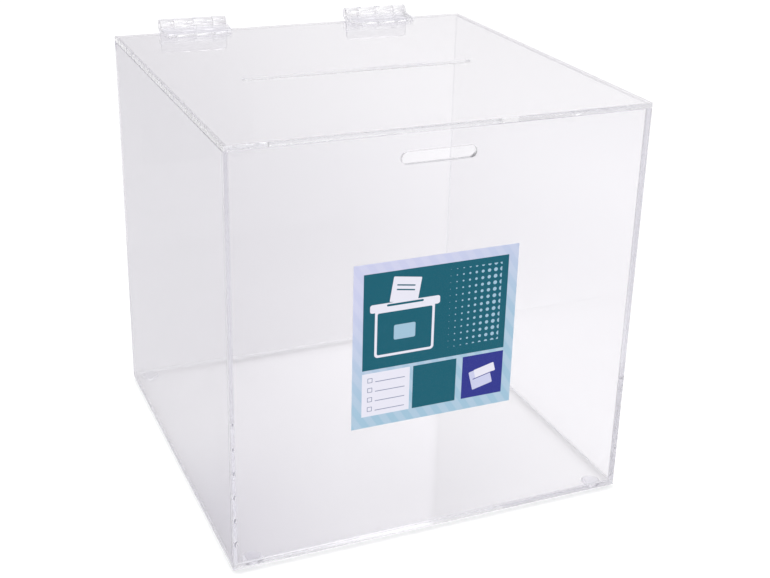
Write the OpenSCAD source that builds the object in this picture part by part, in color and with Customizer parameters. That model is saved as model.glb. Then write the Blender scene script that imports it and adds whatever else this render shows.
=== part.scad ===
// A clear acrylic ballot box. Five sheets are cemented into an open box, and a sixth is the
// lid, which swings on two clear moulded butt hinges. The lid has a slot for folded papers,
// the front has a finger slot under the lid's edge, and four domed feet carry the base.
//
// The origin lies on the surface that the feet stand on, under the middle of the whole part.
// +Z is up, the front faces -Y, and +X is on the right of someone who faces the front.

/* [Box] */
// Outside width of the box, left to right
box_w = 250; // [210:1:400]
// Outside depth of the box, front panel's face to back panel's face
box_d = 250; // [150:1:400]
// Outside height of the box, underside of the base to top of the lid
box_h = 250; // [200:1:400]
// Thickness of every sheet
sheet_t = 3; // [2:0.5:6]
// Air gap between the closed lid and the top edges of the walls
lid_gap = 0.3; // [0.2:0.1:1]
// Thickness of the clear cement between two bonded faces
cement_t = 0.1; // [0.05:0.05:0.3]

/* [Paper slot in the lid] */
// Length over the round ends
paper_slot_l = 148; // [80:1:170]
// Width of the slot
paper_slot_w = 5; // [4.5:0.5:15]
// Place of its middle, to the right of the lid's middle
paper_slot_x = -4; // [-15:1:15]
// Place of its middle, behind the lid's middle
paper_slot_y = -5; // [-40:1:40]

/* [Finger slot in the front panel] */
// Length over the round ends
finger_slot_l = 44; // [20:1:90]
// Height of the slot
finger_slot_h = 7; // [5:0.5:16]
// Place of its middle, to the right of the panel's middle
finger_slot_x = -6.5; // [-30:0.5:30]
// Place of its middle, below the top of the closed lid
finger_slot_drop = 17; // [14:0.5:40]

/* [Label on the front panel] */
// Width of the label
label_w = 100; // [40:1:160]
// Height of the label
label_h = 100; // [40:1:160]
// Thickness of the label
label_t = 0.15; // [0.1:0.05:0.5]
// Place of its middle, to the right of the panel's middle
label_x = -5; // [-20:1:20]
// Height of its middle above the underside of the base
label_mid_h = 126; // [90:1:140]

/* [Hinges] */
// Distance from the left hinge's middle to the box's left face
left_hinge_inset = 53.5; // [30:0.5:75]
// Distance from the right hinge's middle to the box's right face
right_hinge_inset = 64; // [30:0.5:75]
// Length of a hinge along its pin
hinge_l = 45; // [32:1:52]
// Outside diameter of the knuckles
barrel_d = 8; // [7.5:0.5:12]
// Diameter of the pin
pin_d = 3; // [2:0.5:4]
// Distance from the pin's axis to a leaf's free edge
leaf_reach = 20; // [14:1:30]
// Thickness of a leaf beside its knuckles
leaf_root_t = 3.6; // [2.5:0.1:3.7]
// Thickness of a leaf at its free edge
leaf_tip_t = 2; // [1.5:0.1:2.5]
// Radius of the leaf's two free corners
leaf_corner_r = 3; // [1:0.5:6]
// Bevel along the leaf's free edge
leaf_bevel = 0.6; // [0.2:0.1:1]
// Radius of the hollow between the leaf's top and its knuckles
leaf_fillet_r = 2; // [1:0.25:3]
// Length of each of the body leaf's two end knuckles
end_knuckle_l = 9; // [6:0.5:12]
// Clearance between a knuckle and the other leaf, along the pin and behind it
knuckle_gap = 0.3; // [0.2:0.05:0.6]
// Slit that parts the lid leaf's two middle knuckles
middle_slit = 0.8; // [0.4:0.1:3]
// Radial running clearance of the pin in the lid leaf's knuckles
pin_clearance = 0.05; // [0.02:0.01:0.1]
// Depth of each pin end inside its end knuckle
pin_recess = 0.5; // [0.2:0.1:2]

/* [Feet] */
// Diameter of a foot where it is bonded to the base
foot_d = 12; // [8:0.5:15]
// Diameter of the flat that a foot stands on
foot_flat_d = 5; // [2:0.5:6]
// Height of a foot
foot_h = 3; // [2:0.5:4]
// Distance from a foot's middle to the box's side face
foot_inset = 13; // [7.5:0.5:30]
// Distance from a foot's middle to the box's front or back face
foot_end_inset = 7.5; // [7.5:0.5:30]

/* [Hidden] */

$fn = 64;

// How far a cutter runs past the faces that it cuts
cut_over = 1;

acrylic_colour = [0.86, 0.88, 0.93, 0.35];
hinge_colour = [0.83, 0.84, 0.89, 0.6];
foot_colour = [0.88, 0.90, 0.93, 0.6];
label_colour = [0.55, 0.78, 0.84];

// Heights above the surface that the box stands on
base_z = foot_h + cement_t;
wall_z = base_z + sheet_t + cement_t;
top_z = base_z + box_h;
lid_z = top_z - sheet_t;
wall_h = lid_z - lid_gap - wall_z;

// Depths: the label's face is the foremost surface, and the hinges' knuckles stand out behind
part_d = label_t + cement_t + box_d + cement_t + barrel_d;
front_y = label_t + cement_t - part_d / 2;
back_y = front_y + box_d;
mid_y = front_y + box_d / 2;

// Inside faces of the front and back panels, which the side panels stand between
inner_front_y = front_y + sheet_t;
inner_back_y = back_y - sheet_t;

// The knuckles are as far from the lid's top and from the back panel's face as the leaves are
barrel_r = barrel_d / 2;
pin_y = back_y + cement_t + barrel_r;
pin_z = top_z + cement_t + barrel_r;

left_hinge_x = left_hinge_inset - box_w / 2;
right_hinge_x = box_w / 2 - right_hinge_inset;

// Along the pin, from the hinge's middle: its end, and where the end knuckles stop
hinge_end = hinge_l / 2;
knuckle_stop = hinge_end - end_knuckle_l;
lid_knuckle_stop = knuckle_stop - knuckle_gap;

// Height of a leaf's top above the pin's axis, beside the knuckles and at the free edge
root_top = leaf_root_t - barrel_r;
tip_top = leaf_tip_t - barrel_r;

// The hollow meets the leaf's flat top here, measured from the pin's axis
fillet_centre_z = root_top + leaf_fillet_r;
fillet_start = sqrt(pow(barrel_r + leaf_fillet_r, 2) - pow(fillet_centre_z, 2));

// Beside the other leaf's knuckles a leaf stops this far from the pin's axis. That clears the
// other leaf's hollow, which comes round here when the lid hangs down behind the box.
notch = fillet_start + knuckle_gap;

// A foot's dome is a slice of a ball: the height of the ball's middle above the bonded face
foot_r = foot_d / 2;
foot_flat_r = foot_flat_d / 2;
foot_ball_up = (pow(foot_r, 2) - pow(foot_flat_r, 2) - pow(foot_h, 2)) / (2 * foot_h);
foot_ball_r = sqrt(pow(foot_r, 2) + pow(foot_ball_up, 2));
foot_x = box_w / 2 - foot_inset;
front_foot_y = front_y + foot_end_inset;
back_foot_y = back_y - foot_end_inset;

// A slot cutter with round ends, along X and centred, that stands on the XY plane
module slot_cutter(length, width, depth) {
    end_x = (length - width) / 2;
    translate([-end_x, -width / 2, 0])
        cube([2 * end_x, width, depth]);
    for (side = [-1, 1])
        translate([side * end_x, 0, 0])
            cylinder(d = width, h = depth);
}

module base_panel() {
    color(acrylic_colour)
        translate([-box_w / 2, front_y, base_z])
            cube([box_w, box_d, sheet_t]);
}

// The front and back panels run the whole width and cover the side panels' edges
module cross_wall(y) {
    translate([-box_w / 2, y, wall_z])
        cube([box_w, sheet_t, wall_h]);
}

module front_panel() {
    color(acrylic_colour)
        difference() {
            cross_wall(front_y);
            translate([finger_slot_x, front_y - cut_over, top_z - finger_slot_drop])
                rotate([-90, 0, 0])
                    slot_cutter(finger_slot_l, finger_slot_h, sheet_t + 2 * cut_over);
        }
}

module back_panel() {
    color(acrylic_colour)
        cross_wall(inner_back_y);
}

// The side panels stand between the front and back panels, with cement at both ends
module side_wall(x) {
    translate([x, inner_front_y + cement_t, wall_z])
        cube([sheet_t, inner_back_y - inner_front_y - 2 * cement_t, wall_h]);
}

module left_panel() {
    color(acrylic_colour)
        side_wall(-box_w / 2);
}

module right_panel() {
    color(acrylic_colour)
        side_wall(box_w / 2 - sheet_t);
}

module lid_panel() {
    color(acrylic_colour)
        difference() {
            translate([-box_w / 2, front_y, lid_z])
                cube([box_w, box_d, sheet_t]);
            translate([paper_slot_x, mid_y + paper_slot_y, lid_z - cut_over])
                slot_cutter(paper_slot_l, paper_slot_w, sheet_t + 2 * cut_over);
        }
}

// A leaf's wedge from the side, with the pin's axis at the origin: its thick end stops inside
// the knuckle, and its top runs up into the knuckle's round through a hollow
module leaf_profile() {
    polygon([
        [0, -barrel_r],
        [-leaf_reach, -barrel_r],
        [-leaf_reach, tip_top - leaf_bevel],
        [-leaf_reach + leaf_bevel, tip_top],
        [-fillet_start, root_top],
        [0, root_top]
    ]);
    difference() {
        polygon([
            [0, 0],
            [0, root_top],
            [-fillet_start, root_top],
            [-fillet_start, fillet_centre_z]
        ]);
        translate([-fillet_start, fillet_centre_z])
            circle(r = leaf_fillet_r);
    }
}

// A leaf from above: straight behind, with two round corners at the free edge
module leaf_plan() {
    translate([-hinge_end, leaf_corner_r - leaf_reach])
        square([hinge_l, leaf_reach - leaf_corner_r + barrel_r]);
    translate([leaf_corner_r - hinge_end, -leaf_reach])
        square([hinge_l - 2 * leaf_corner_r, leaf_reach]);
    for (side = [-1, 1])
        translate([side * (hinge_end - leaf_corner_r), leaf_corner_r - leaf_reach])
            circle(r = leaf_corner_r);
}

// Clears the knuckles' room between two places along the pin, back to a distance behind it
module barrel_cutter(from_x, to_x, behind) {
    translate([from_x, -behind, -barrel_r - cut_over])
        cube([to_x - from_x, behind + barrel_r + cut_over, barrel_d + 2 * cut_over]);
}

// A leaf lying flat towards -Y, with the pin's axis along X through the origin and one
// knuckle along its whole length
module whole_leaf() {
    intersection() {
        rotate([90, 0, 90])
            linear_extrude(height = hinge_l, center = true)
                leaf_profile();
        translate([0, 0, -barrel_r])
            linear_extrude(height = barrel_d)
                leaf_plan();
    }
    rotate([0, 90, 0])
        cylinder(r = barrel_r, h = hinge_l, center = true);
}

module pin_bore(radius) {
    rotate([0, 90, 0])
        cylinder(r = radius, h = hinge_l + 2 * cut_over, center = true);
}

// The leaf on the back panel: two end knuckles, which grip the pin, and clear room between
// them for the lid leaf's knuckles. Swapping Y and Z stands the leaf upright.
module body_leaf(x) {
    color(hinge_colour)
        translate([x, pin_y, pin_z])
            mirror([0, 1, -1])
                difference() {
                    whole_leaf();
                    pin_bore(pin_d / 2);
                    barrel_cutter(-knuckle_stop, knuckle_stop, notch);
                }
}

// The leaf on the lid: two middle knuckles, parted by a slit, which turn on the pin
module lid_leaf(x) {
    color(hinge_colour)
        translate([x, pin_y, pin_z])
            difference() {
                whole_leaf();
                pin_bore(pin_d / 2 + pin_clearance);
                barrel_cutter(-hinge_end - cut_over, -lid_knuckle_stop, notch);
                barrel_cutter(lid_knuckle_stop, hinge_end + cut_over, notch);
                barrel_cutter(-middle_slit / 2, middle_slit / 2, barrel_r);
            }
}

module hinge_pin(x) {
    color(hinge_colour)
        translate([x, pin_y, pin_z])
            rotate([0, 90, 0])
                cylinder(d = pin_d, h = hinge_l - 2 * pin_recess, center = true);
}

module left_hinge_body_leaf() { body_leaf(left_hinge_x); }
module left_hinge_lid_leaf() { lid_leaf(left_hinge_x); }
module left_hinge_pin() { hinge_pin(left_hinge_x); }
module right_hinge_body_leaf() { body_leaf(right_hinge_x); }
module right_hinge_lid_leaf() { lid_leaf(right_hinge_x); }
module right_hinge_pin() { hinge_pin(right_hinge_x); }

// A domed foot: a slice of a ball, narrow and flat where it stands, bonded under the base
module foot(x, y) {
    color(foot_colour)
        translate([x, y, 0])
            intersection() {
                translate([0, 0, foot_h + foot_ball_up])
                    sphere(r = foot_ball_r);
                cylinder(r = foot_r, h = foot_h);
            }
}

module front_left_foot() { foot(-foot_x, front_foot_y); }
module front_right_foot() { foot(foot_x, front_foot_y); }
module back_left_foot() { foot(-foot_x, back_foot_y); }
module back_right_foot() { foot(foot_x, back_foot_y); }

module front_label() {
    color(label_colour)
        translate([
            label_x - label_w / 2,
            front_y - cement_t - label_t,
            base_z + label_mid_h - label_h / 2
        ])
            cube([label_w, label_t, label_h]);
}

base_panel();
front_panel();
back_panel();
left_panel();
right_panel();
lid_panel();
left_hinge_body_leaf();
left_hinge_lid_leaf();
left_hinge_pin();
right_hinge_body_leaf();
right_hinge_lid_leaf();
right_hinge_pin();
front_left_foot();
front_right_foot();
back_left_foot();
back_right_foot();
front_label();
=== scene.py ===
import random
from math import cos, pi, radians, sin

import bmesh
import bpy
from mathutils import Matrix, Quaternion, Vector


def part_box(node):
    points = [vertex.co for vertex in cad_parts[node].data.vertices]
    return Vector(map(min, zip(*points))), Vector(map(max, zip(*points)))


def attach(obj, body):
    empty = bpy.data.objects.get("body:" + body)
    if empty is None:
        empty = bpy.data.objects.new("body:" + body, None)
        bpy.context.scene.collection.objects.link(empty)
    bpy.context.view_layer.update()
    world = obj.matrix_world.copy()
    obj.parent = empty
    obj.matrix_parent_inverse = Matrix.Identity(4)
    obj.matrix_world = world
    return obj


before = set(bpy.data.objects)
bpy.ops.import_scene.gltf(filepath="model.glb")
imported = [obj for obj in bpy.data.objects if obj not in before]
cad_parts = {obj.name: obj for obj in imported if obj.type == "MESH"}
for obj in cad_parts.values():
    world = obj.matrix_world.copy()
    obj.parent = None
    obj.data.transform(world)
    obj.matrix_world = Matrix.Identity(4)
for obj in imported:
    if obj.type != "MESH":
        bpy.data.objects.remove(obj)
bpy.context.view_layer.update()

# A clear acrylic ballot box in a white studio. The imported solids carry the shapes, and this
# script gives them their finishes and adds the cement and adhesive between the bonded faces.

MM = 0.001

# Axes by number, and as the direction through a sheet's thickness
X, Y, Z = 0, 1, 2
ALONG = [(1, 0, 0), (0, 1, 0), (0, 0, 1)]

WHITE = (1, 1, 1, 1)
ACRYLIC_IOR = 1.49


# ---------------------------------------------------------------- node helpers

# The sockets of a Mix node that mixes colours
MIX_SHARE, MIX_FIRST, MIX_SECOND, MIX_RESULT = 0, 6, 7, 2


def put(tree, kind, sockets=None, **settings):
    """A node of one kind, with its own settings, and its inputs set or wired by name."""
    made = tree.nodes.new(kind)
    for name, value in settings.items():
        setattr(made, name, value)
    for name, value in (sockets or {}).items():
        if isinstance(value, bpy.types.NodeSocket):
            tree.links.new(value, made.inputs[name])
        else:
            made.inputs[name].default_value = value
    return made


def sums(tree, operation, *values):
    """The result of one Math node."""
    node = put(tree, "ShaderNodeMath", dict(enumerate(values)), operation=operation)
    return node.outputs[0]


def product(tree, first, *others):
    """Several values multiplied in turn."""
    for other in others:
        first = sums(tree, "MULTIPLY", first, other)
    return first


def vectors(tree, operation, *values, out="Vector"):
    """The result of one Vector Math node."""
    node = put(tree, "ShaderNodeVectorMath", dict(enumerate(values)), operation=operation)
    return node.outputs[out]


def fade(tree, value, low, high, to_low=0.0, to_high=1.0, smooth=True):
    """A value moved from one range to another, held at both ends."""
    node = put(
        tree, "ShaderNodeMapRange",
        {"Value": value, "From Min": low, "From Max": high, "To Min": to_low, "To Max": to_high},
    )
    node.interpolation_type = "SMOOTHSTEP" if smooth else "LINEAR"
    return node.outputs["Result"]


def colours(tree, share, first, second):
    """Two colours mixed by a share. The node has its colour sockets by number only."""
    sockets = {MIX_SHARE: share, MIX_FIRST: first, MIX_SECOND: second}
    node = put(tree, "ShaderNodeMix", sockets, data_type="RGBA")
    return node.outputs[MIX_RESULT]


def noise(tree, where, scale, detail, distortion=0.0):
    """The factor of one Noise Texture."""
    sockets = {"Vector": where, "Scale": scale, "Detail": detail, "Distortion": distortion}
    return put(tree, "ShaderNodeTexNoise", sockets).outputs[0]


def xyz(tree, vector):
    """The three parts of a vector."""
    return put(tree, "ShaderNodeSeparateXYZ", {0: vector}).outputs


def joined(tree, parts):
    """A vector from some of its parts, by axis. The rest are zero."""
    return put(tree, "ShaderNodeCombineXYZ", parts).outputs[0]


def new_group(name, takes, gives):
    """An empty shader node group with named inputs and outputs."""
    tree = bpy.data.node_groups.new(name, "ShaderNodeTree")
    for label, kind, value in takes:
        socket = tree.interface.new_socket(name=label, in_out="INPUT", socket_type=kind)
        if value is not None:
            socket.default_value = value
    for label, kind in gives:
        tree.interface.new_socket(name=label, in_out="OUTPUT", socket_type=kind)
    return tree, tree.nodes.new("NodeGroupInput").outputs, tree.nodes.new("NodeGroupOutput").inputs


def placed(tree, group, sockets):
    """The outputs of a group placed in a material with its own values."""
    node = tree.nodes.new("ShaderNodeGroup")
    node.node_tree = group
    for name, value in sockets.items():
        if isinstance(value, bpy.types.NodeSocket):
            tree.links.new(value, node.inputs[name])
        else:
            node.inputs[name].default_value = value
    return node.outputs


# ---------------------------------------------------------------- shared effects

NUMBER, VECTOR = "NodeSocketFloat", "NodeSocketVector"

# Two sets of scratches: how each is turned, and how fine its noise is across and along them
SCRATCH_SETS = ((0.3, 0.5, 0.9), 620.0), ((1.2, 0.2, 2.2), 840.0)
SCRATCH_ALONG = 9.0


def handling_marks_group():
    """Faint smears and hairline scratches of a box that has been handled."""
    tree, takes, gives = new_group(
        "handling_marks",
        [("Position", VECTOR, None), ("Smear size", NUMBER, 0.05)],
        [("Smears", NUMBER), ("Scratches", NUMBER)],
    )
    where = takes["Position"]
    scale = sums(tree, "DIVIDE", 1.0, takes["Smear size"])
    broad = noise(tree, where, scale, detail=3.0)
    fine = noise(tree, where, sums(tree, "MULTIPLY", scale, 7.0), detail=5.0)
    smears = product(tree, fade(tree, broad, 0.5, 0.72), fade(tree, fine, 0.35, 0.75))
    tree.links.new(smears, gives["Smears"])
    streaks = []
    for turn, across in SCRATCH_SETS:
        aimed = put(tree, "ShaderNodeMapping", {
            "Vector": where, "Rotation": turn, "Scale": (across, SCRATCH_ALONG, across),
        })
        hair = noise(tree, aimed.outputs[0], scale=1.0, detail=1.0)
        streaks.append(fade(tree, hair, 0.70, 0.74))
    tree.links.new(sums(tree, "MAXIMUM", *streaks), gives["Scratches"])
    return tree


def cut_edge_group():
    """Where a sheet shows its cut edge, and the saw's marks there."""
    tree, takes, gives = new_group(
        "cut_edge",
        [("Position", VECTOR, None), ("Normal", VECTOR, None), ("Through", VECTOR, None)],
        [("Edge", NUMBER), ("Marks", NUMBER)],
    )
    through = takes["Through"]
    facing = vectors(tree, "DOT_PRODUCT", takes["Normal"], through, out="Value")
    edge = fade(tree, sums(tree, "ABSOLUTE", facing), 0.95, 0.4)
    tree.links.new(edge, gives["Edge"])
    # The marks run straight through the sheet, so their noise is flat in that direction
    inward = vectors(tree, "DOT_PRODUCT", takes["Position"], through, out="Value")
    across = put(tree, "ShaderNodeVectorMath", {0: through, "Scale": inward}, operation="SCALE")
    flat = vectors(tree, "SUBTRACT", takes["Position"], across.outputs[0])
    teeth = noise(tree, flat, scale=900.0, detail=2.0)
    chatter = noise(tree, flat, scale=210.0, detail=1.0)
    tree.links.new(sums(tree, "MULTIPLY_ADD", chatter, 2.5, teeth), gives["Marks"])
    return tree


def block_group():
    """A rectangle with round corners, turned about its middle, as a mask. Lengths are in mm."""
    tree, takes, gives = new_group(
        "block",
        [
            ("Position", VECTOR, None), ("Middle", VECTOR, None), ("Size", VECTOR, None),
            ("Corner", NUMBER, 0.0), ("Turn", NUMBER, 0.0), ("Softness", NUMBER, 0.1),
        ],
        [("Mask", NUMBER)],
    )
    moved = vectors(tree, "SUBTRACT", takes["Position"], takes["Middle"])
    turned = put(
        tree, "ShaderNodeVectorRotate", {"Vector": moved, "Angle": takes["Turn"]},
        rotation_type="Z_AXIS",
    )
    # Signed distance to the outline, worked out in one quarter of the rectangle
    folded = vectors(tree, "ABSOLUTE", turned.outputs[0])
    half = vectors(tree, "MULTIPLY", takes["Size"], (0.5, 0.5, 0.5))
    corner = joined(tree, {axis: takes["Corner"] for axis in (X, Y, Z)})
    past = vectors(tree, "ADD", vectors(tree, "SUBTRACT", folded, half), corner)
    beside = vectors(tree, "MULTIPLY", vectors(tree, "MAXIMUM", past, (0, 0, 0)), (1, 1, 0))
    outside = vectors(tree, "LENGTH", beside, out="Value")
    nearest = sums(tree, "MAXIMUM", *xyz(tree, past)[:Z])
    inside = sums(tree, "MINIMUM", nearest, 0.0)
    distance = sums(tree, "SUBTRACT", sums(tree, "ADD", outside, inside), takes["Corner"])
    scaled = sums(tree, "DIVIDE", distance, takes["Softness"])
    tree.links.new(fade(tree, scaled, 0.5, -0.5), gives["Mask"])
    return tree


HANDLING = handling_marks_group()
CUT_EDGE = cut_edge_group()
BLOCK = block_group()


# ---------------------------------------------------------------- materials

def bare_material(name):
    """A material with an output and its Principled shader, and where a point is on the piece."""
    material = bpy.data.materials.new(name)
    material.use_nodes = True
    tree = material.node_tree
    tree.nodes.clear()
    output = tree.nodes.new("ShaderNodeOutputMaterial")
    shader = tree.nodes.new("ShaderNodeBsdfPrincipled")
    place = tree.nodes.new("ShaderNodeTexCoord")
    return material, tree, output, shader, place


def clear_surface(tree, output, shader, ior, lets_through):
    """Makes a shader clear and joins it to the output, and lets the studio's light straight
    through it to whatever it lights."""
    shader.inputs["IOR"].default_value = ior
    shader.inputs["Transmission Weight"].default_value = 1.0
    rays = tree.nodes.new("ShaderNodeLightPath")
    open_air = put(tree, "ShaderNodeBsdfTransparent", {"Color": lets_through})
    surface = shader.outputs[0]
    for kind in ("Is Shadow Ray", "Is Diffuse Ray"):
        mix = tree.nodes.new("ShaderNodeMixShader")
        tree.links.new(rays.outputs[kind], mix.inputs[0])
        tree.links.new(surface, mix.inputs[1])
        tree.links.new(open_air.outputs[0], mix.inputs[2])
        surface = mix.outputs[0]
    tree.links.new(surface, output.inputs["Surface"])


def flat_on_lid(tree, spot):
    """A point on the lid as right and back in mm."""
    return vectors(tree, "MULTIPLY", spot, (1000, 1000, 1000))


def flat_on_front(tree, spot):
    """A point on the front panel as right and up in mm."""
    part = xyz(tree, spot)
    return vectors(tree, "MULTIPLY", joined(tree, {X: part[X], Y: part[Z]}), (1000, 1000, 0))


# The roughness of polished sheet, and what each kind of mark adds to it
POLISHED = 0.004
SMEARED, SCRATCHED, SAWN, ROUTED, CHIPPED = 0.035, 0.05, 0.05, 0.3, 0.6


def acrylic(
    name, through, cast=(0.945, 0.94, 0.95, 1), edge_cast=WHITE, teeth=0.1, slot=None,
    chipped=False,
):
    """Clear sheet with sawn edges, whose saw marks have a depth, and faint handling marks. A
    slot, given as how points lie flat on the sheet and a block around it, has a frosted wall,
    and a chipped sheet has frosted chips along its left edge."""
    material, tree, output, shader, place = bare_material(name)
    spot = place.outputs["Object"]
    marks = placed(tree, HANDLING, {"Position": spot, "Smear size": 0.045})
    edge = placed(tree, CUT_EDGE, {
        "Position": spot, "Normal": place.outputs["Normal"], "Through": ALONG[through],
    })
    hazes = [
        (marks["Smears"], SMEARED), (marks["Scratches"], SCRATCHED), (edge["Edge"], SAWN),
    ]
    if slot:
        flat, middle, size = slot
        routed = placed(tree, BLOCK, {
            "Position": flat(tree, spot), "Middle": middle, "Size": size, "Softness": 0.5,
        })
        hazes.append((sums(tree, "MULTIPLY", routed["Mask"], edge["Edge"]), ROUTED))
    if chipped:
        chips = left_edge_chips(tree, spot)
        hazes.append((chips, CHIPPED))
        edge_cast = colours(tree, chips, edge_cast, WHITE)
    rough = POLISHED
    for share, haze in hazes:
        rough = sums(tree, "MULTIPLY_ADD", share, haze, rough)
    tree.links.new(rough, shader.inputs["Roughness"])
    tree.links.new(colours(tree, edge["Edge"], cast, edge_cast), shader.inputs["Base Color"])
    ripple = put(tree, "ShaderNodeBump", {
        "Strength": teeth, "Distance": 0.12 * MM,
        "Height": sums(tree, "MULTIPLY", edge["Marks"], edge["Edge"]),
    })
    tree.links.new(ripple.outputs[0], shader.inputs["Normal"])
    clear_surface(tree, output, shader, ACRYLIC_IOR, WHITE)
    return material


# Where the chips lie, in m: how far left they start and are full, and from where in front
# to where behind they grow from few to many
CHIPS_START, CHIPS_FULL = -0.1243, -0.1247
CHIPS_FEW, CHIPS_MANY = -0.125, 0.02


def left_edge_chips(tree, spot):
    """A mask of the small frosted chips along the lid's left edge, fewer towards the front."""
    part = xyz(tree, spot)
    grain = noise(tree, joined(tree, {Y: part[Y]}), scale=230.0, detail=1.0)
    return product(
        tree,
        fade(tree, grain, 0.43, 0.50),
        fade(tree, part[X], CHIPS_START, CHIPS_FULL),
        fade(tree, part[Y], CHIPS_FEW, CHIPS_MANY, 0.35, 1.0),
    )


def clouded(name, scale, haze, tints, ior, lets_through):
    """A clear stuff with a cloud in it. The haze is the range of the cloud's noise and the
    roughness that it gives, and the tints are the colours at its two ends."""
    material, tree, output, shader, place = bare_material(name)
    cloud = noise(tree, place.outputs["Object"], scale, detail=2.0)
    tree.links.new(fade(tree, cloud, *haze), shader.inputs["Roughness"])
    tree.links.new(colours(tree, cloud, *tints), shader.inputs["Base Color"])
    clear_surface(tree, output, shader, ior, lets_through)
    return material


def cement(name, lets_through):
    """Clear cement. The cement in the box's joints holds back some of the light that falls
    along the walls, so they shade the floor under them."""
    return clouded(
        name, scale=400.0, haze=(0.4, 0.8, 0.0, 0.08),
        tints=((0.97, 0.97, 0.98, 1), (0.93, 0.93, 0.95, 1)),
        ior=ACRYLIC_IOR, lets_through=lets_through,
    )


def trapped_cement(name, *tints):
    """Cement that dried in drops inside a joint, cloudy and darker than the sheet."""
    return clouded(
        name, scale=900.0, haze=(0.3, 0.7, 0.3, 0.55), tints=tints,
        ior=1.45, lets_through=(0.8, 0.8, 0.82, 1),
    )


def foot_rubber():
    """Soft clear bumper, a little cloudy."""
    return clouded(
        "bumper", scale=350.0, haze=(0.3, 0.8, 0.02, 0.1),
        tints=((0.985, 0.985, 0.99, 1), (0.94, 0.94, 0.95, 1)),
        ior=1.47, lets_through=(0.97, 0.97, 0.98, 1),
    )


def hinge_plastic():
    """Clear moulded plastic with flow lines along the hinge and a little haze."""
    material, tree, output, shader, place = bare_material("hinge_moulding")
    spot = place.outputs["Object"]
    drawn_out = vectors(tree, "MULTIPLY", spot, (0.12, 1, 1))
    flow = noise(tree, drawn_out, scale=130.0, detail=3.0, distortion=0.6)
    marks = placed(tree, HANDLING, {"Position": spot, "Smear size": 0.01})
    rough = sums(tree, "MULTIPLY_ADD", marks["Smears"], 0.1, 0.02)
    tree.links.new(rough, shader.inputs["Roughness"])
    tint = colours(tree, flow, WHITE, (0.98, 0.977, 0.983, 1))
    tree.links.new(tint, shader.inputs["Base Color"])
    ripple = put(tree, "ShaderNodeBump", {
        "Strength": 0.05, "Distance": 0.2 * MM, "Height": flow,
    })
    tree.links.new(ripple.outputs[0], shader.inputs["Normal"])
    clear_surface(tree, output, shader, ior=1.55, lets_through=(0.95, 0.95, 0.96, 1))
    return material


# The label's inks, and its print as blocks: middle, size, corner radius, turn in degrees, ink.
# Places are in mm from the label's lower left corner, and a later block lies over an earlier one.
TEAL = (0.0, 0.092, 0.135, 1)
NAVY = (0.020, 0.026, 0.225, 1)
PAPER = (0.70, 0.69, 0.77, 1)
LILAC = (0.52, 0.535, 0.71, 1)
PALE_BLUE = (0.31, 0.47, 0.59, 1)
RULE = (0.22, 0.25, 0.36, 1)
BACKING = (0.68, 0.68, 0.70, 1)

FORM_ROWS = (29.5, 23.5, 17.5, 11.5)
LABEL_PRINT = [
    # The large field, and its tongue between the two lower blocks
    ((50, 65), (88, 58), 0, 0, TEAL),
    ((50.5, 20.5), (27, 27), 0, 0, TEAL),
    # A slotted box with a slip going in
    ((31, 82), (17, 15), 0.6, 9, PAPER),
    ((31.2, 84.6), (11, 0.8), 0, 9, TEAL),
    ((31, 81.9), (11, 0.8), 0, 9, TEAL),
    ((31, 57.5), (36, 29), 2.2, 0, PAPER),
    ((31, 57.2), (33, 25.4), 1.0, 0, TEAL),
    ((31, 73), (42, 5), 1.4, 0, PAPER),
    ((31, 74), (22, 1.3), 0.6, 0, TEAL),
    ((31, 57), (13, 9), 1.0, 0, PALE_BLUE),
    # A blank form with a tick square and a rule on each row
    ((20.5, 20.5), (29, 27), 0, 0, PAPER),
    *(((10.8, y), (3.0, 3.0), 0.3, 0, RULE) for y in FORM_ROWS),
    *(((10.8, y), (2.2, 2.2), 0.2, 0, PAPER) for y in FORM_ROWS),
    *(((23.0, y - 1.2), (18, 0.5), 0, 0, RULE) for y in FORM_ROWS),
    # A folded slip on the navy block
    ((81, 20.5), (26, 27), 0, 0, NAVY),
    ((80, 19), (13, 12), 0.6, -14, LILAC),
    ((82.4, 23.2), (13, 5.6), 0.6, -14, PAPER),
    ((81.4, 20.0), (13, 0.5), 0, -14, NAVY),
]


def band_print(tree, spot):
    """The pale ground of the label: lilac that fades to blue, with faint slanting ribbons."""
    across = vectors(tree, "DOT_PRODUCT", spot, (0.45, -1.0, 0), out="Value")
    ground = colours(tree, fade(tree, across, -88.0, 5.0), LILAC, PALE_BLUE)
    slant = vectors(tree, "DOT_PRODUCT", spot, (0.11, 0.07, 0), out="Value")
    ribbon = sums(tree, "PINGPONG", slant, 0.5)
    return colours(tree, fade(tree, ribbon, 0.2, 0.3, 0.0, 0.16), ground, PAPER)


DOT_PITCH = 4.0


def dot_print(tree, spot):
    """A mask of dots on a square pitch that grow to the right, in a part of the large field."""
    pitch, middle = (DOT_PITCH,) * 3, (DOT_PITCH / 2, DOT_PITCH / 2, 0)
    cell = vectors(tree, "MULTIPLY", vectors(tree, "WRAP", spot, pitch, (0, 0, 0)), (1, 1, 0))
    away = vectors(tree, "DISTANCE", cell, middle, out="Value")
    radius = fade(tree, xyz(tree, spot)[X], 58.0, 92.0, 0.25, 1.35, smooth=False)
    dots = fade(tree, sums(tree, "SUBTRACT", away, radius), 0.08, -0.08)
    field = placed(tree, BLOCK, {"Position": spot, "Middle": (74, 66, 0), "Size": (32, 48, 0)})
    return sums(tree, "MULTIPLY", dots, field["Mask"])


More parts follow.
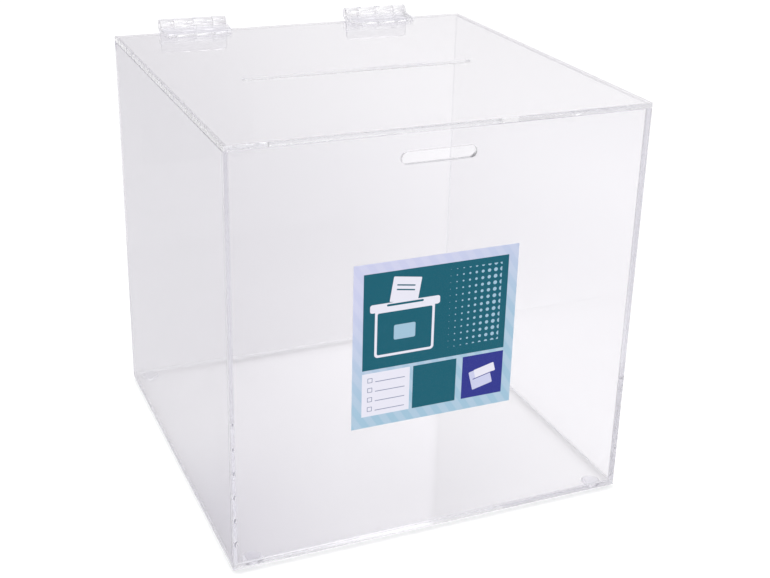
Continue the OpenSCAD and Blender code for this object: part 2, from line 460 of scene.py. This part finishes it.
def printed_film():
    """The label: printed film on its face, plain paper towards the panel."""
    material, tree, output, shader, place = bare_material("printed_film")
    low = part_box("front_label")[0]
    part = xyz(tree, place.outputs["Object"])
    right = sums(tree, "MULTIPLY", sums(tree, "SUBTRACT", part[X], low.x), 1000.0)
    up = sums(tree, "MULTIPLY", sums(tree, "SUBTRACT", part[Z], low.z), 1000.0)
    spot = joined(tree, {X: right, Y: up})
    ink = band_print(tree, spot)
    for middle, size, corner, turn, colour in LABEL_PRINT:
        mask = placed(tree, BLOCK, {
            "Position": spot, "Middle": (*middle, 0), "Size": (*size, 0), "Corner": corner,
            "Turn": radians(turn),
        })["Mask"]
        ink = colours(tree, mask, ink, colour)
    ink = colours(tree, dot_print(tree, spot), ink, PALE_BLUE)
    grain = noise(tree, place.outputs["Object"], scale=2600.0, detail=2.0)
    ink = colours(tree, fade(tree, grain, 0.45, 0.8, 0.0, 0.04), ink, PAPER)
    off_face = fade(tree, xyz(tree, place.outputs["Normal"])[Y], -0.8, -0.4)
    tree.links.new(colours(tree, off_face, ink, BACKING), shader.inputs["Base Color"])
    tree.links.new(fade(tree, grain, 0.3, 0.7, 0.3, 0.42), shader.inputs["Roughness"])
    shader.inputs["Specular IOR Level"].default_value = 0.15
    tree.links.new(shader.outputs[0], output.inputs["Surface"])
    return material


# ---------------------------------------------------------------- sheets, hinges, feet, label

def dress(node, material, bevel):
    """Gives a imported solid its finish, and breaks its sharp edges by a hair."""
    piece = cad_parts[node]
    piece.data.materials.clear()
    piece.data.materials.append(material)
    weld = piece.modifiers.new("weld", "WELD")
    weld.merge_threshold = 0.001 * MM
    edges = piece.modifiers.new("broken_edges", "BEVEL")
    edges.width = bevel
    edges.segments = 2
    edges.limit_method = "ANGLE"
    edges.angle_limit = radians(40)


# Blocks around the two routed slots: how points lie flat on the sheet, middle, and size
PAPER_SLOT = flat_on_lid, (-4, -8.925, 0), (150, 7, 0)
FINGER_SLOT = flat_on_front, (-6.5, 236.1, 0), (46, 9, 0)


def dress_sheets():
    """The six acrylic sheets, each with its thickness along its own axis."""
    level = acrylic(
        "acrylic_level", Z, (0.99, 0.985, 0.992, 1), edge_cast=(0.86, 0.86, 0.875, 1), teeth=0.04,
    )
    lid = acrylic(
        "acrylic_lid", Z, edge_cast=(0.93, 0.93, 0.94, 1), teeth=0.06, slot=PAPER_SLOT,
        chipped=True,
    )
    front = acrylic("acrylic_front", Y, slot=FINGER_SLOT)
    back = acrylic("acrylic_back", Y)
    side = acrylic("acrylic_side", X)
    for node, material in (
        ("base_panel", level), ("lid_panel", lid), ("front_panel", front),
        ("back_panel", back), ("left_panel", side), ("right_panel", side),
    ):
        dress(node, material, bevel=0.15 * MM)


def dress_hinges():
    """Both hinges' leaves and pins."""
    plastic = hinge_plastic()
    for side in ("left", "right"):
        for part in ("body_leaf", "lid_leaf", "pin"):
            dress(f"{side}_hinge_{part}", plastic, bevel=0.12 * MM)


def dress_feet():
    """The four bumpers."""
    rubber = foot_rubber()
    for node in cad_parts:
        if node.endswith("_foot"):
            dress(node, rubber, bevel=0.1 * MM)


def dress_label():
    """The label on the front panel."""
    dress("front_label", printed_film(), bevel=0.02 * MM)


# ---------------------------------------------------------------- bonding films

# How far a film runs into the faces that it wets, and how far its rim stays inside their edges
FILM_BITE = 0.02 * MM
FILM_INSET = 0.06 * MM

# Voids: how many draws each may take, how flat they are, and the room that they need to be
# drawn at all, to the film's rim and to each other
DRAWS_PER_VOID = 6
VOID_FLATNESS = 0.7
LEAST_ROOM, RIM_ROOM, VOID_ROOM = 0.1 * MM, 0.08 * MM, 0.05 * MM

# The stretches that have voids: of a wall's joint, with its width, of a hinge's leaf, and both
# ways of the label
JOINT_RUN, JOINT_WIDTH = 0.24, 0.0029
LEAF_RUN = 0.042
LABEL_RUN = 0.096


def outline_mesh(name, rings, thickness):
    """A flat plate from closed rings: the first is its outline and the rest are voids in it."""
    curve = bpy.data.curves.new(name, "CURVE")
    curve.dimensions = "2D"
    curve.fill_mode = "BOTH"
    curve.extrude = thickness / 2
    for ring in rings:
        spline = curve.splines.new("POLY")
        spline.points.add(len(ring) - 1)
        for point, (x, y) in zip(spline.points, ring):
            point.co = (x, y, 0, 1)
        spline.use_cyclic_u = True
    carrier = bpy.data.objects.new(name, curve)
    mesh = bpy.data.meshes.new_from_object(carrier)
    bpy.data.objects.remove(carrier)
    bpy.data.curves.remove(curve)
    shape = bmesh.new()
    shape.from_mesh(mesh)
    bmesh.ops.remove_doubles(shape, verts=shape.verts, dist=0.0005 * MM)
    bmesh.ops.recalc_face_normals(shape, faces=shape.faces)
    shape.to_mesh(mesh)
    shape.free()
    mesh.name = name
    return mesh


def turned(x, y, u, v, turn):
    """A point that lies u and v from x and y, turned about them."""
    return x + u * cos(turn) - v * sin(turn), y + u * sin(turn) + v * cos(turn)


def around(points):
    """Angles for a closed ring."""
    return [2 * pi * i / points for i in range(points)]


def bubble(x, y, rx, ry, turn=0.0, points=12):
    """The outline of one void in a film."""
    return [turned(x, y, rx * cos(a), ry * sin(a), turn) for a in around(points)]


def rectangle(width, height):
    """The outline of a rectangle about the origin."""
    w, h = width / 2, height / 2
    return [(-w, -h), (w, -h), (w, h), (-w, h)]


def comma(x, y, length, width, turn):
    """The outline of a drawn-out void with a round head and a thin bent tail."""
    tail, sag = 0.35, 0.35 * width
    ring = []
    for a in around(14):
        headward = 0.5 + 0.5 * cos(a)
        slim = width / 2 * (tail + (1 - tail) * headward)
        u, v = cos(a) * length / 2, sin(a) * slim + sag * cos(a) ** 2
        ring.append(turned(x, y, u, v, turn))
    return ring


def shrunk(ring, share):
    """A ring drawn in towards its middle."""
    x = sum(point[0] for point in ring) / len(ring)
    y = sum(point[1] for point in ring) / len(ring)
    return [(x + (u - x) * share, y + (v - y) * share) for u, v in ring]


def scattered_voids(rng, length, width, count, low, high, start=None, stop=None):
    """Small round voids along a stretch of a joint, kept apart and inside its outline."""
    start = -length / 2 if start is None else start
    stop = length / 2 if stop is None else stop
    voids, taken = [], []
    for _ in range(count * DRAWS_PER_VOID):
        if len(voids) == count:
            break
        rx, ry = rng.uniform(low, high), rng.uniform(low, high) * VOID_FLATNESS
        reach = max(rx, ry)
        if width / 2 - reach < LEAST_ROOM:
            continue
        x = rng.uniform(start + 2 * reach, stop - 2 * reach)
        y = rng.uniform(-width / 2 + reach + RIM_ROOM, width / 2 - reach - RIM_ROOM)
        if any((x - a) ** 2 + (y - b) ** 2 < (reach + c + VOID_ROOM) ** 2 for a, b, c in taken):
            continue
        taken.append((x, y, reach))
        voids.append(bubble(x, y, rx, ry, rng.uniform(0, pi)))
    return voids


def lay_film(name, low, high, material, body, voids, slot="acrylic_sheet", outline=None):
    """A bonding film that fills the gap between two corners. Its thin axis is the gap's, and
    it runs a hair into both faces there."""
    size = [b - a for a, b in zip(low, high)]
    thin = min(range(3), key=lambda i: size[i])
    longest, other = sorted((i for i in range(3) if i != thin), key=lambda i: -size[i])
    length, width = size[longest] - 2 * FILM_INSET, size[other] - 2 * FILM_INSET
    rings = [outline or rectangle(length, width)] + voids
    mesh = outline_mesh(name, rings, size[thin] + 2 * FILM_BITE)
    turn = Matrix.Identity(3)
    turn.col[0], turn.col[1], turn.col[2] = ALONG[longest], ALONG[other], ALONG[thin]
    middle = Vector([(a + b) / 2 for a, b in zip(low, high)])
    mesh.transform(Matrix.Translation(middle) @ turn.to_4x4())
    if turn.determinant() < 0:
        mesh.flip_normals()
    mesh.materials.append(material)
    piece = bpy.data.objects.new(name, mesh)
    bpy.context.scene.collection.objects.link(piece)
    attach(piece, body)
    return piece


def lay_base_cement(glue, rng):
    """Cement under the four walls."""
    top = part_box("base_panel")[1].z
    for side in ("front", "back", "left", "right"):
        low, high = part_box(f"{side}_panel")
        voids = scattered_voids(
            rng, JOINT_RUN, JOINT_WIDTH, count=46, low=0.12 * MM, high=0.45 * MM,
        )
        lay_film(
            f"base_{side}_cement", (low.x, low.y, top), (high.x, high.y, low.z), glue, "box",
            voids,
        )


# The drops in the front left corner, in mm: how many, the first one's height, the pitch, the
# first one's length and width, and the share of them that each further drop is smaller by
DROP_COUNT, FIRST_DROP, DROP_PITCH = 6, 18.8, 15.3
DROP_LENGTH, DROP_WIDTH, DROP_LOSS = 4.6, 1.7, 0.1


def drop_row(middle):
    """A row of drawn-out drops up a corner, each smaller than the one below it."""
    drops = []
    for step in range(DROP_COUNT):
        height = (FIRST_DROP + DROP_PITCH * step) * MM - middle
        scale = (1 - DROP_LOSS * step) * MM
        drops.append(
            comma(height, 0.3 * MM, DROP_LENGTH * scale, DROP_WIDTH * scale, radians(12))
        )
    return drops


def lay_corner_cement(glue, rng):
    """Cement in the four upright corners. The front left one has a row of drawn-out drops, and
    the front right one is foamy near its foot."""
    runs = trapped_cement("cement_runs", (0.82, 0.82, 0.85, 1), (0.60, 0.60, 0.64, 1))
    foam = trapped_cement("cement_foam", (0.50, 0.50, 0.54, 1), (0.28, 0.28, 0.32, 1))
    front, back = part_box("front_panel"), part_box("back_panel")
    for side in ("left", "right"):
        low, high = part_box(f"{side}_panel")
        middle = (low.z + high.z) / 2
        for end, near, far in (("front", front[1].y, low.y), ("back", high.y, back[0].y)):
            corner = (low.x, near, low.z), (high.x, far, high.z)
            name = f"{end}_{side}_cement"
            voids = scattered_voids(
                rng, JOINT_RUN, JOINT_WIDTH, count=30, low=0.12 * MM, high=0.3 * MM, start=-0.02,
            )
            filled, drops = [], runs
            if (end, side) == ("front", "left"):
                filled = drop_row(middle)
            if (end, side) == ("front", "right"):
                drops = foam
                filled = scattered_voids(
                    rng, JOINT_RUN, JOINT_WIDTH, count=130, low=0.15 * MM, high=0.5 * MM,
                    start=-middle + 0.008, stop=-middle + 0.08,
                )
            lay_film(name, *corner, glue, "box", voids + filled)
            if filled:
                inner = [shrunk(ring, 0.86) for ring in filled]
                lay_film(f"{name}_drops", *corner, drops, "box", inner[1:], outline=inner[0])


def lay_hinge_glue(glue, rng):
    """Glue under the hinges' leaves, with a few trapped bubbles."""
    lid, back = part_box("lid_panel"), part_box("back_panel")
    margin = 0.4 * MM
    for side in ("left", "right"):
        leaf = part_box(f"{side}_hinge_lid_leaf")
        voids = scattered_voids(rng, LEAF_RUN, 0.014, count=16, low=0.3 * MM, high=1.1 * MM)
        lay_film(
            f"{side}_lid_leaf_glue",
            (leaf[0].x + margin, leaf[0].y + margin, lid[1].z),
            (leaf[1].x - margin, lid[1].y - margin, leaf[0].z),
            glue, "lid", voids, "hinge_plastic",
        )
        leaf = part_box(f"{side}_hinge_body_leaf")
        voids = scattered_voids(rng, LEAF_RUN, 0.011, count=14, low=0.3 * MM, high=1.1 * MM)
        lay_film(
            f"{side}_body_leaf_glue",
            (leaf[0].x + margin, back[1].y, leaf[0].z + margin),
            (leaf[1].x - margin, leaf[0].y, back[1].z - margin),
            glue, "box", voids, "hinge_plastic",
        )


def lay_foot_glue(glue, rng):
    """A round of glue between each foot and the base."""
    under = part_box("base_panel")[0].z
    for node in [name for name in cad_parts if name.endswith("_foot")]:
        low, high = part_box(node)
        radius = (high.x - low.x) / 2 - 0.3 * MM
        x, y = rng.uniform(-2, 2) * MM, rng.uniform(-2, 2) * MM
        voids = [bubble(x, y, 0.6 * MM, 0.4 * MM, 0.5)]
        lay_film(
            f"{node}_glue", (low.x, low.y, high.z), (high.x, high.y, under), glue, "box", voids,
            "foot_rubber", bubble(0, 0, radius, radius, points=40),
        )


def lay_label_adhesive(glue, rng):
    """The label's adhesive, with a few small bubbles that were not rubbed out."""
    low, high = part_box("front_label")
    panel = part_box("front_panel")[0].y
    voids = scattered_voids(rng, LABEL_RUN, LABEL_RUN, count=26, low=0.25 * MM, high=1.2 * MM)
    lay_film(
        "label_adhesive", (low.x, high.y, low.z), (high.x, panel, high.z), glue, "box", voids,
        "label_film",
    )


def lay_films():
    """Every bonded joint of the box."""
    joint = cement("joint_cement", (0.35, 0.35, 0.37, 1))
    glue = cement("clear_glue", WHITE)
    rng = random.Random(11)
    lay_base_cement(joint, rng)
    lay_corner_cement(joint, rng)
    lay_hinge_glue(glue, rng)
    lay_foot_glue(glue, rng)
    lay_label_adhesive(glue, rng)


# ---------------------------------------------------------------- studio

# The surround: what lights the box and shows behind it, and what gloss and glass see instead
# to the left and right, overhead, and as a card
SURROUND_LIGHT = (1.08, 1.08, 1.08, 1)
SURROUND_LEFT = (0.80, 0.785, 0.81, 1)
SURROUND_RIGHT = (1.0, 0.99, 1.0, 1)
CEILING = (0.88, 0.88, 0.90, 1)
CARD = (1.45, 1.44, 1.46, 1)


def white_world():
    """A white surround. Gloss and glass see it fall off to the left of the box, as in a studio
    lit from the right, under a slightly darker ceiling, with a bright card high up behind."""
    world = bpy.data.worlds.new("white_studio")
    bpy.context.scene.world = world
    world.use_nodes = True
    tree = world.node_tree
    tree.nodes.clear()
    glossy = tree.nodes.new("ShaderNodeLightPath").outputs["Is Glossy Ray"]
    place = tree.nodes.new("ShaderNodeTexCoord")
    part = xyz(tree, place.outputs["Generated"])
    # The bearing is 0 straight behind the box and grows to the right. The rise is 1 overhead.
    bearing, rise = sums(tree, "ARCTAN2", part[X], part[Y]), part[Z]
    rightward = fade(tree, bearing, radians(0), radians(45))
    sides = colours(tree, rightward, SURROUND_LEFT, SURROUND_RIGHT)
    horizon = colours(tree, glossy, SURROUND_LIGHT, sides)
    tone = colours(tree, fade(tree, rise, 0.45, 0.7), horizon, CEILING)
    card = product(
        tree,
        fade(tree, bearing, radians(10), radians(25)),
        fade(tree, bearing, radians(26.6), radians(26.0)),
        fade(tree, rise, 0.40, 0.46),
        fade(tree, rise, 0.72, 0.60),
        glossy,
    )
    tone = colours(tree, card, tone, CARD)
    sky = put(tree, "ShaderNodeBackground", {"Color": tone, "Strength": 1.0})
    out = tree.nodes.new("ShaderNodeOutputWorld")
    tree.links.new(sky.outputs[0], out.inputs["Surface"])


# The paper: its own colour, and the painted shade and light that gloss and glass see of it in each
# part of the floor
PAPER_OWN = (0.9, 0.9, 0.9, 1)
FLOOR_LEFT_PAINTED_SHADE = (0.61, 0.603, 0.62, 1)
FLOOR_RIGHT = (0.84, 0.835, 0.84, 1)
FLOOR_PAINTED_SHADE_UNDER_RIGHT = (0.755, 0.75, 0.758, 1)
FLOOR_BESIDE_RIGHT = (0.81, 0.805, 0.81, 1)
FLOOR_CORNER_PAINTED_SHADOW = (0.51, 0.50, 0.53, 1)
FLOOR_UNLIT = (0.62, 0.615, 0.62, 1)
FLOOR_REACH = 7.0


def paper_floor():
    """The white paper that the box stands on. Gloss and glass see painted shade on it: it falls
    off to the left, has painted shadows under the box, is lighter just before its front, and is
    darker further towards the front, where the studio isn't lit."""
    mesh = bpy.data.meshes.new("floor")
    corners = [(x, y, 0) for x, y in rectangle(2 * FLOOR_REACH, 2 * FLOOR_REACH)]
    mesh.from_pydata(corners, [], [(0, 1, 2, 3)])
    floor = bpy.data.objects.new("floor", mesh)
    bpy.context.scene.collection.objects.link(floor)
    floor.location.z = -0.02 * MM
    material = bpy.data.materials.new("white_paper")
    material.use_nodes = True
    tree = material.node_tree
    tree.nodes.clear()
    rays = tree.nodes.new("ShaderNodeLightPath")
    spot = tree.nodes.new("ShaderNodeTexCoord").outputs["Object"]
    part = xyz(tree, spot)
    right, back = part[X], part[Y]
    # Painted shade that gloss and glass see on the floor: darker to the left, lighter to the right
    painted_floor_tone = colours(tree, fade(tree, right, -0.1, 0.5), FLOOR_LEFT_PAINTED_SHADE, FLOOR_RIGHT)
    # Painted shade under the box by its right wall, lighter just outside the wall
    painted_shade_by_right_wall = colours(
        tree, fade(tree, right, 0.10, 0.14), FLOOR_PAINTED_SHADE_UNDER_RIGHT, FLOOR_BESIDE_RIGHT,
    )
    slanting = vectors(tree, "DOT_PRODUCT", spot, (0.356, 1.0, 0.0), out="Value")
    # Each part's share and tone, all painted shade or light. A later part lies over an earlier
    # one, and places are in m.
    painted_shade_near_right = product(tree, fade(tree, right, -0.06, 0.19), fade(tree, back, 0.35, 0.05))
    # A painted shadow under the box at its front left corner
    corner_painted_shadow = product(tree, fade(tree, right, -0.02, -0.13), fade(tree, back, 0.05, -0.09))
    # A painted lighter strip just before the front, and painted shade further towards the front
    before_front = fade(tree, back, -0.122, -0.135)
    unlit = fade(tree, slanting, -0.36, -0.75)
    for share, tone in (
        (painted_shade_near_right, painted_shade_by_right_wall), (corner_painted_shadow, FLOOR_CORNER_PAINTED_SHADOW),
        (before_front, FLOOR_RIGHT), (unlit, FLOOR_UNLIT),
    ):
        painted_floor_tone = colours(tree, share, painted_floor_tone, tone)
    tone = colours(tree, rays.outputs["Is Glossy Ray"], PAPER_OWN, painted_floor_tone)
    paper = put(tree, "ShaderNodeBsdfDiffuse", {"Color": tone})
    out = tree.nodes.new("ShaderNodeOutputMaterial")
    tree.links.new(paper.outputs[0], out.inputs["Surface"])
    mesh.materials.append(material)


def softbox(name, place, aim, width, height, watts):
    """One soft lamp."""
    lamp = bpy.data.lights.new(name, "AREA")
    lamp.shape = "RECTANGLE"
    lamp.size, lamp.size_y = width, height
    lamp.energy = watts
    holder = bpy.data.objects.new(name, lamp)
    bpy.context.scene.collection.objects.link(holder)
    holder.location = place
    holder.rotation_mode = "QUATERNION"
    holder.rotation_quaternion = (Vector(aim) - Vector(place)).to_track_quat("-Z", "Y")


def overhead_light():
    """A wide, soft light from above that reaches the whole floor alike."""
    lamp = bpy.data.lights.new("overhead_light", "SUN")
    lamp.angle = radians(70)
    lamp.energy = 0.75
    holder = bpy.data.objects.new("overhead_light", lamp)
    bpy.context.scene.collection.objects.link(holder)
    holder.rotation_euler = (radians(12), radians(-14), 0)


# The photograph's camera. Its focal length, its optical centre's row and its middle row are in
# the photograph's pixels, its target is in mm and its distance in m.
PHOTO_WIDTH, PHOTO_MIDDLE_ROW, OPTICAL_ROW = 770, 289, 250
FOCAL_LENGTH = 1284.68
SENSOR_WIDTH_MM = 36.0
CAMERA_TARGET, CAMERA_DISTANCE = (17.56, -3.925, 130.3), 0.83435


def photo_camera():
    """The photograph's view: from the front left and above, with a slight lean."""
    azimuth, elevation, lean = radians(-23.57), radians(22.22), radians(1.45)
    back = Vector((sin(azimuth) * cos(elevation), -cos(azimuth) * cos(elevation), sin(elevation)))
    data = bpy.data.cameras.new("photo_camera")
    data.sensor_width = SENSOR_WIDTH_MM
    data.lens = FOCAL_LENGTH * SENSOR_WIDTH_MM / PHOTO_WIDTH
    data.shift_y = (OPTICAL_ROW - PHOTO_MIDDLE_ROW) / PHOTO_WIDTH
    data.clip_start, data.clip_end = 0.02, 40.0
    camera = bpy.data.objects.new("photo_camera", data)
    bpy.context.scene.collection.objects.link(camera)
    camera.location = Vector(CAMERA_TARGET) * MM + back * CAMERA_DISTANCE
    camera.rotation_mode = "QUATERNION"
    camera.rotation_quaternion = (-back).to_track_quat("-Z", "Y") @ Quaternion((0, 0, 1), lean)
    bpy.context.scene.camera = camera


# Enough for light that crosses many sheets and runs along inside them
BOUNCES = 160


def light_paths():
    """How far light is followed, and plain whites."""
    scene = bpy.context.scene
    scene.view_settings.view_transform = "Standard"
    scene.cycles.max_bounces = BOUNCES
    scene.cycles.transmission_bounces = BOUNCES
    scene.cycles.glossy_bounces = BOUNCES
    scene.cycles.diffuse_bounces = 3
    scene.cycles.transparent_max_bounces = 64
    scene.cycles.caustics_refractive = False
    scene.cycles.caustics_reflective = False


photo_camera()
light_paths()
white_world()
paper_floor()
overhead_light()
softbox(
    "overhead_softbox", place=(-0.3, -0.2, 1.7), aim=(0, 0, 0.1), width=1.2, height=1.2, watts=6,
)
dress_sheets()
dress_hinges()
dress_feet()
dress_label()
lay_films()
